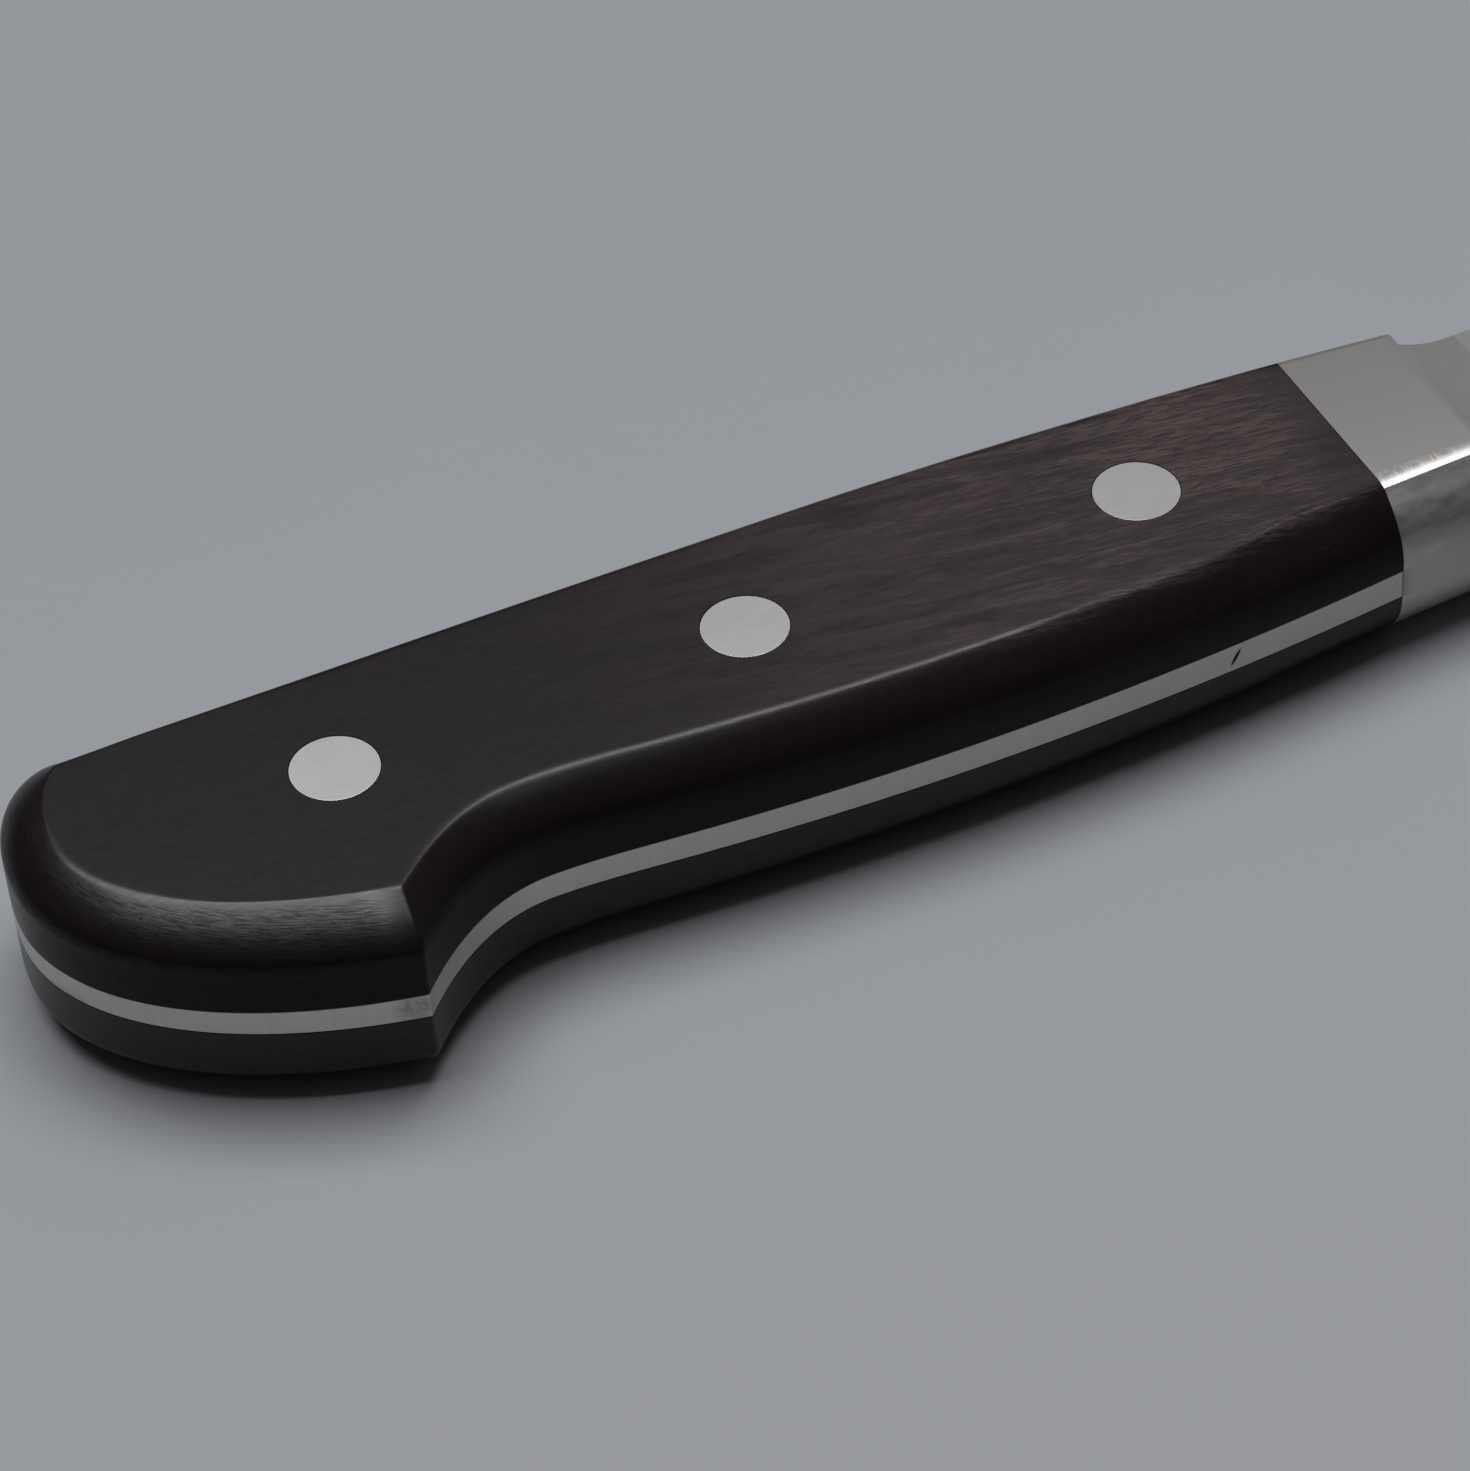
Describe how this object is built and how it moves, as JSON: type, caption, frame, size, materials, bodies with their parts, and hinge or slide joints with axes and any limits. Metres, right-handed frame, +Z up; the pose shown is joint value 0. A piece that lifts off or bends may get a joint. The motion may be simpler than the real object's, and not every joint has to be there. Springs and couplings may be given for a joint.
{
  "type": "gyuto knife",
  "caption": "Gyuto kitchen knife: long tapered steel blade with a full tang riveted between dark wooden scales, a steel bolster and a hooked butt, lying on its side.",
  "frame": {"origin": "on the flat of the left scale, on the rivet line, halfway between the front and the middle rivet", "axes": "+X along the handle to the blade's tip, +Y to the spine, +Z up out of the right-hand side of the knife, which lies on its left side"},
  "size_m": [0.3291, 0.0477, 0.0155],
  "materials": {
    "blade_steel": "fine satin grind across the blade",
    "bolster_steel": "satin, polished along the edges",
    "rivet_steel": "ground flush, fine scratches along the handle",
    "scale_wood": "dense dark laminated wood, satin, reddish brown near the bolster"
  },
  "bodies": {
    "root": {"blade_with_tang": "blade_steel", "bolster_right": "bolster_steel", "bolster_left": "bolster_steel", "scale_right": "scale_wood", "scale_left": "scale_wood", "rivet_front_male": "rivet_steel", "rivet_front_female": "rivet_steel", "rivet_middle_male": "rivet_steel", "rivet_middle_female": "rivet_steel", "rivet_rear_male": "rivet_steel", "rivet_rear_female": "rivet_steel"}
  },
  "joints": []
}
